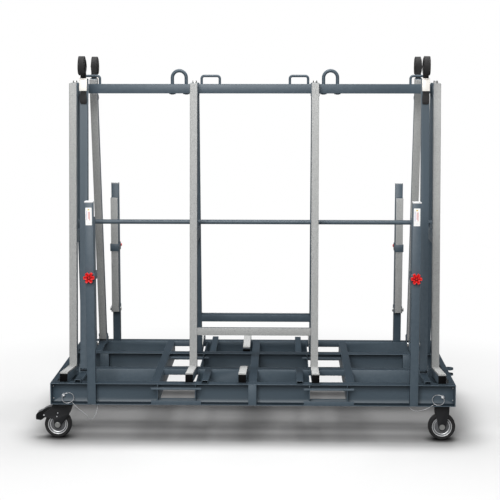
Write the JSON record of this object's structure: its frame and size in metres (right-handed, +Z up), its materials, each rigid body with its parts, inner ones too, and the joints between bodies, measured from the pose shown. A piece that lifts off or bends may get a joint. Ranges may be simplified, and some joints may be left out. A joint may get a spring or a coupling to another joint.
{
  "type": "sheet goods cart",
  "caption": "Wheeled cart with a leaning padded A-frame for sheet goods, strap-held press bars, posts with clamp bars, fork pockets and lifting hoops.",
  "frame": {"origin": "the point on the floor midway between the four wheels, under the centre of the base", "axes": "+Z up; +X along the base towards the tow lugs; +Y from the front long side to the rear one"},
  "size_m": [1.975, 1.0748, 1.7491],
  "materials": {
    "frame_paint": "satin powder coat",
    "pad_rubber": "speckled matt",
    "cap_plastic": "matt",
    "zinc": "bright zinc",
    "castor_black": "satin black",
    "tyre_rubber": "matt",
    "knob_red": "satin",
    "webbing": "woven",
    "lever_metal": "bright coated",
    "wire": "wire rope"
  },
  "bodies": {
    "frame": {"outer_rails": "frame_paint", "inner_rails": "frame_paint", "end_rails": "frame_paint", "tow_lugs": "frame_paint", "cross_members": "frame_paint", "pocket_frames": "frame_paint", "frame_legs": "frame_paint", "frame_feet": "frame_paint", "guide_feet": "frame_paint", "fixed_pads": "pad_rubber", "end_caps": "cap_plastic", "top_beam": "frame_paint", "saddles": "frame_paint", "lifting_rods": "frame_paint", "cross_ties": "frame_paint", "posts": "frame_paint", "clamp_bars": "frame_paint", "bolts": "zinc", "castor_mounts": "castor_black", "lanyards": "wire"},
    "swivel_fl": {"swivel_fork_fl": "castor_black"},
    "pedal_fl": {"brake_pedal_fl": "cap_plastic"},
    "wheel_fl": {"wheel_fl": "tyre_rubber"},
    "collar_fl": {"collar_fl": "frame_paint"},
    "knob_fl": {"star_knob_fl": "knob_red"},
    "shoe_fl": {"shoe_fl": "frame_paint"},
    "press_bar_fl": {"press_bar_fl": "frame_paint", "press_pad_fl": "pad_rubber", "strap_fl": "webbing"},
    "lever_fl": {"buckle_lever_fl": "lever_metal"},
    "pin_fl": {"linch_pin_fl": "zinc"},
    "wheel_fr": {"wheel_fr": "tyre_rubber"},
    "collar_fr": {"collar_fr": "frame_paint"},
    "knob_fr": {"star_knob_fr": "knob_red"},
    "shoe_fr": {"shoe_fr": "frame_paint"},
    "press_bar_fr": {"press_bar_fr": "frame_paint", "press_pad_fr": "pad_rubber", "strap_fr": "webbing"},
    "lever_fr": {"buckle_lever_fr": "lever_metal"},
    "pin_fr": {"linch_pin_fr": "zinc"},
    "swivel_rl": {"swivel_fork_rl": "castor_black"},
    "pedal_rl": {"brake_pedal_rl": "cap_plastic"},
    "wheel_rl": {"wheel_rl": "tyre_rubber"},
    "collar_rl": {"collar_rl": "frame_paint"},
    "knob_rl": {"star_knob_rl": "knob_red"},
    "shoe_rl": {"shoe_rl": "frame_paint"},
    "press_bar_rl": {"press_bar_rl": "frame_paint", "press_pad_rl": "pad_rubber", "strap_rl": "webbing"},
    "lever_rl": {"buckle_lever_rl": "lever_metal"},
    "pin_rl": {"linch_pin_rl": "zinc"},
    "wheel_rr": {"wheel_rr": "tyre_rubber"},
    "collar_rr": {"collar_rr": "frame_paint"},
    "knob_rr": {"star_knob_rr": "knob_red"},
    "shoe_rr": {"shoe_rr": "frame_paint"},
    "press_bar_rr": {"press_bar_rr": "frame_paint", "press_pad_rr": "pad_rubber", "strap_rr": "webbing"},
    "lever_rr": {"buckle_lever_rr": "lever_metal"},
    "pin_rr": {"linch_pin_rr": "zinc"}
  },
  "joints": [
    {"name": "castor_swivel_fl", "type": "hinge", "parent": "frame", "child": "swivel_fl", "pos_m": [-0.87, -0.4405, 0.155], "axis": [0, 0, 1], "continuous": true},
    {"name": "brake_press_fl", "type": "hinge", "parent": "swivel_fl", "child": "pedal_fl", "pos_m": [-0.962, -0.4405, 0.108], "axis": [0, -1, 0], "range_deg": [0, 12]},
    {"name": "wheel_spin_fl", "type": "hinge", "parent": "swivel_fl", "child": "wheel_fl", "pos_m": [-0.9, -0.4405, 0.0625], "axis": [0, 1, 0], "continuous": true},
    {"name": "collar_slide_fl", "type": "slide", "parent": "frame", "child": "collar_fl", "axis": [0, 0, 1], "range_m": [-0.27, 0.32]},
    {"name": "knob_turn_fl", "type": "hinge", "parent": "collar_fl", "child": "knob_fl", "pos_m": [-0.7355, -0.505, 0.76], "axis": [0, 1, 0], "continuous": true},
    {"name": "shoe_slide_fl", "type": "slide", "parent": "frame", "child": "shoe_fl", "axis": [0, -0.9986, 0.0523], "range_m": [-0.045, 0.165]},
    {"name": "press_lean_fl", "type": "hinge", "parent": "shoe_fl", "child": "press_bar_fl", "pos_m": [-0.798, -0.28109, 0.30351], "axis": [-1, 0, 0], "range_deg": [-5.6, 3.4]},
    {"name": "buckle_open_fl", "type": "hinge", "parent": "press_bar_fl", "child": "lever_fl", "pos_m": [-0.798, -0.17611, 1.64167], "axis": [-1, 0, 0], "range_deg": [0, 100]},
    {"name": "pin_pull_fl", "type": "slide", "parent": "frame", "child": "pin_fl", "axis": [0, -1, 0], "range_m": [0, 0.05]},
    {"name": "wheel_spin_fr", "type": "hinge", "parent": "frame", "child": "wheel_fr", "pos_m": [0.87, -0.4405, 0.0625], "axis": [0, 1, 0], "continuous": true},
    {"name": "collar_slide_fr", "type": "slide", "parent": "frame", "child": "collar_fr", "axis": [0, 0, 1], "range_m": [-0.27, 0.32]},
    {"name": "knob_turn_fr", "type": "hinge", "parent": "collar_fr", "child": "knob_fr", "pos_m": [0.7355, -0.505, 0.76], "axis": [0, 1, 0], "continuous": true},
    {"name": "shoe_slide_fr", "type": "slide", "parent": "frame", "child": "shoe_fr", "axis": [0, -0.9986, 0.0523], "range_m": [-0.045, 0.165]},
    {"name": "press_lean_fr", "type": "hinge", "parent": "shoe_fr", "child": "press_bar_fr", "pos_m": [0.798, -0.28109, 0.30351], "axis": [-1, 0, 0], "range_deg": [-5.6, 3.4]},
    {"name": "buckle_open_fr", "type": "hinge", "parent": "press_bar_fr", "child": "lever_fr", "pos_m": [0.798, -0.17611, 1.64167], "axis": [-1, 0, 0], "range_deg": [0, 100]},
    {"name": "pin_pull_fr", "type": "slide", "parent": "frame", "child": "pin_fr", "axis": [0, -1, 0], "range_m": [0, 0.05]},
    {"name": "castor_swivel_rl", "type": "hinge", "parent": "frame", "child": "swivel_rl", "pos_m": [-0.87, 0.4405, 0.155], "axis": [0, 0, 1], "continuous": true},
    {"name": "brake_press_rl", "type": "hinge", "parent": "swivel_rl", "child": "pedal_rl", "pos_m": [-0.962, 0.4405, 0.108], "axis": [0, -1, 0], "range_deg": [0, 12]},
    {"name": "wheel_spin_rl", "type": "hinge", "parent": "swivel_rl", "child": "wheel_rl", "pos_m": [-0.9, 0.4405, 0.0625], "axis": [0, 1, 0], "continuous": true},
    {"name": "collar_slide_rl", "type": "slide", "parent": "frame", "child": "collar_rl", "axis": [0, 0, 1], "range_m": [-0.278, 0.312]},
    {"name": "knob_turn_rl", "type": "hinge", "parent": "collar_rl", "child": "knob_rl", "pos_m": [-0.7355, 0.505, 0.768], "axis": [0, -1, 0], "continuous": true},
    {"name": "shoe_slide_rl", "type": "slide", "parent": "frame", "child": "shoe_rl", "axis": [0, 0.9986, 0.0523], "range_m": [-0.12, 0.04]},
    {"name": "press_lean_rl", "type": "hinge", "parent": "shoe_rl", "child": "press_bar_rl", "pos_m": [-0.798, 0.40499, 0.31], "axis": [1, 0, 0], "range_deg": [-9.5, 1]},
    {"name": "buckle_open_rl", "type": "hinge", "parent": "press_bar_rl", "child": "lever_rl", "pos_m": [-0.798, 0.2083, 1.63779], "axis": [1, 0, 0], "range_deg": [0, 100]},
    {"name": "pin_pull_rl", "type": "slide", "parent": "frame", "child": "pin_rl", "axis": [0, 1, 0], "range_m": [0, 0.05]},
    {"name": "wheel_spin_rr", "type": "hinge", "parent": "frame", "child": "wheel_rr", "pos_m": [0.87, 0.4405, 0.0625], "axis": [0, 1, 0], "continuous": true},
    {"name": "collar_slide_rr", "type": "slide", "parent": "frame", "child": "collar_rr", "axis": [0, 0, 1], "range_m": [-0.278, 0.312]},
    {"name": "knob_turn_rr", "type": "hinge", "parent": "collar_rr", "child": "knob_rr", "pos_m": [0.7355, 0.505, 0.768], "axis": [0, -1, 0], "continuous": true},
    {"name": "shoe_slide_rr", "type": "slide", "parent": "frame", "child": "shoe_rr", "axis": [0, 0.9986, 0.0523], "range_m": [-0.12, 0.04]},
    {"name": "press_lean_rr", "type": "hinge", "parent": "shoe_rr", "child": "press_bar_rr", "pos_m": [0.798, 0.40499, 0.31], "axis": [1, 0, 0], "range_deg": [-9.5, 1]},
    {"name": "buckle_open_rr", "type": "hinge", "parent": "press_bar_rr", "child": "lever_rr", "pos_m": [0.798, 0.2083, 1.63779], "axis": [1, 0, 0], "range_deg": [0, 100]},
    {"name": "pin_pull_rr", "type": "slide", "parent": "frame", "child": "pin_rr", "axis": [0, 1, 0], "range_m": [0, 0.05]}
  ]
}
